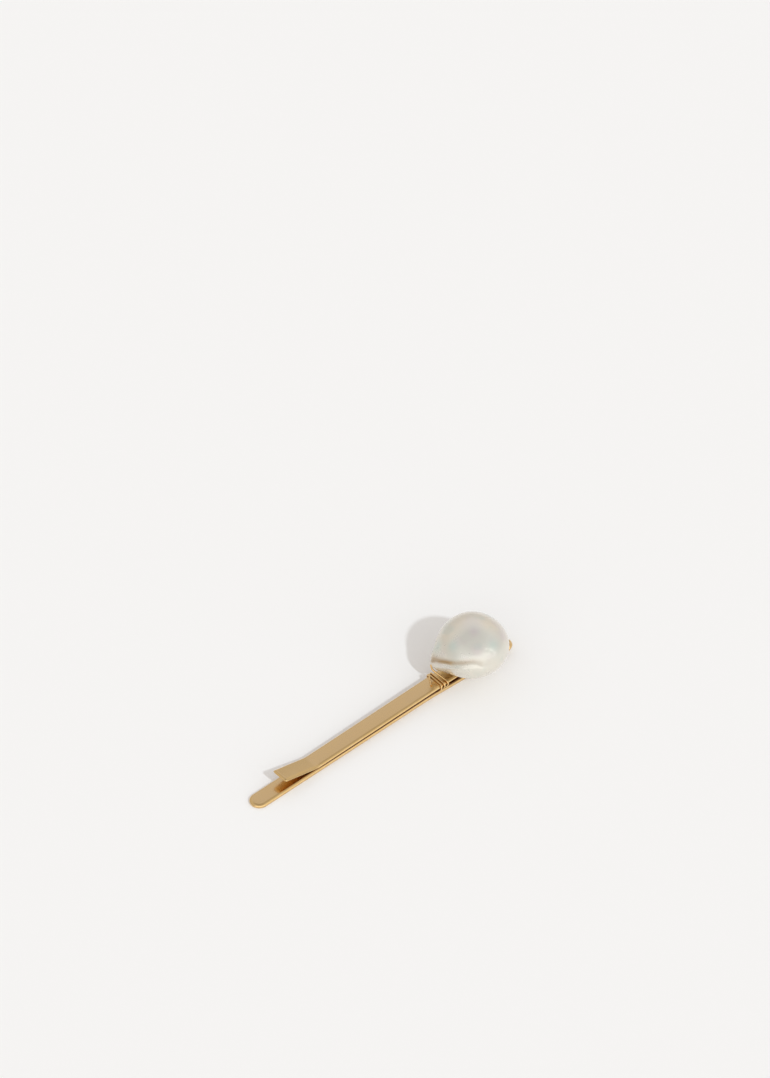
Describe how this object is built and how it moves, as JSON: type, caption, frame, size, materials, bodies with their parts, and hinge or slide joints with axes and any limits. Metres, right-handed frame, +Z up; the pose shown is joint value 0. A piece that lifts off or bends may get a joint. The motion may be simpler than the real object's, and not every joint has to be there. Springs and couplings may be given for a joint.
{
  "type": "decorative hair pin",
  "caption": "Slim gold bobby pin with a sprung closed end, a flared open end and a cream baroque pearl bound on to its upper prong with fine wire.",
  "frame": {"origin": "bottom centre of the whole pin's bounding box as it lies on a flat surface with the pearl uppermost", "axes": "+X along the pin towards its closed end, +Y across the strip, away from the side that the pearl overhangs, +Z up"},
  "size_m": [0.06, 0.013, 0.0126],
  "materials": {
    "gold_strip": "polished gold plate over a sprung strip",
    "gold_wire": "polished gold wire",
    "pearl": "glossy nacre with a soft cream and silver lustre"
  },
  "bodies": {
    "lower_half": {"lower_prong": "gold_strip", "spring_bend": "gold_strip"},
    "upper_half": {"upper_prong": "gold_strip", "pearl": "pearl", "front_binding": "gold_wire", "pearl_wire": "gold_wire", "rear_binding": "gold_wire"}
  },
  "joints": [
    {"name": "prongs_open", "type": "hinge", "parent": "lower_half", "child": "upper_half", "pos_m": [0.02874, 0.0017, 0.00127], "axis": [0, 1, 0], "range_deg": [0, 12], "stiffness_Nm_per_rad": 0.4, "springref_deg": -2.86, "deforming": ["spring_bend"]}
  ]
}
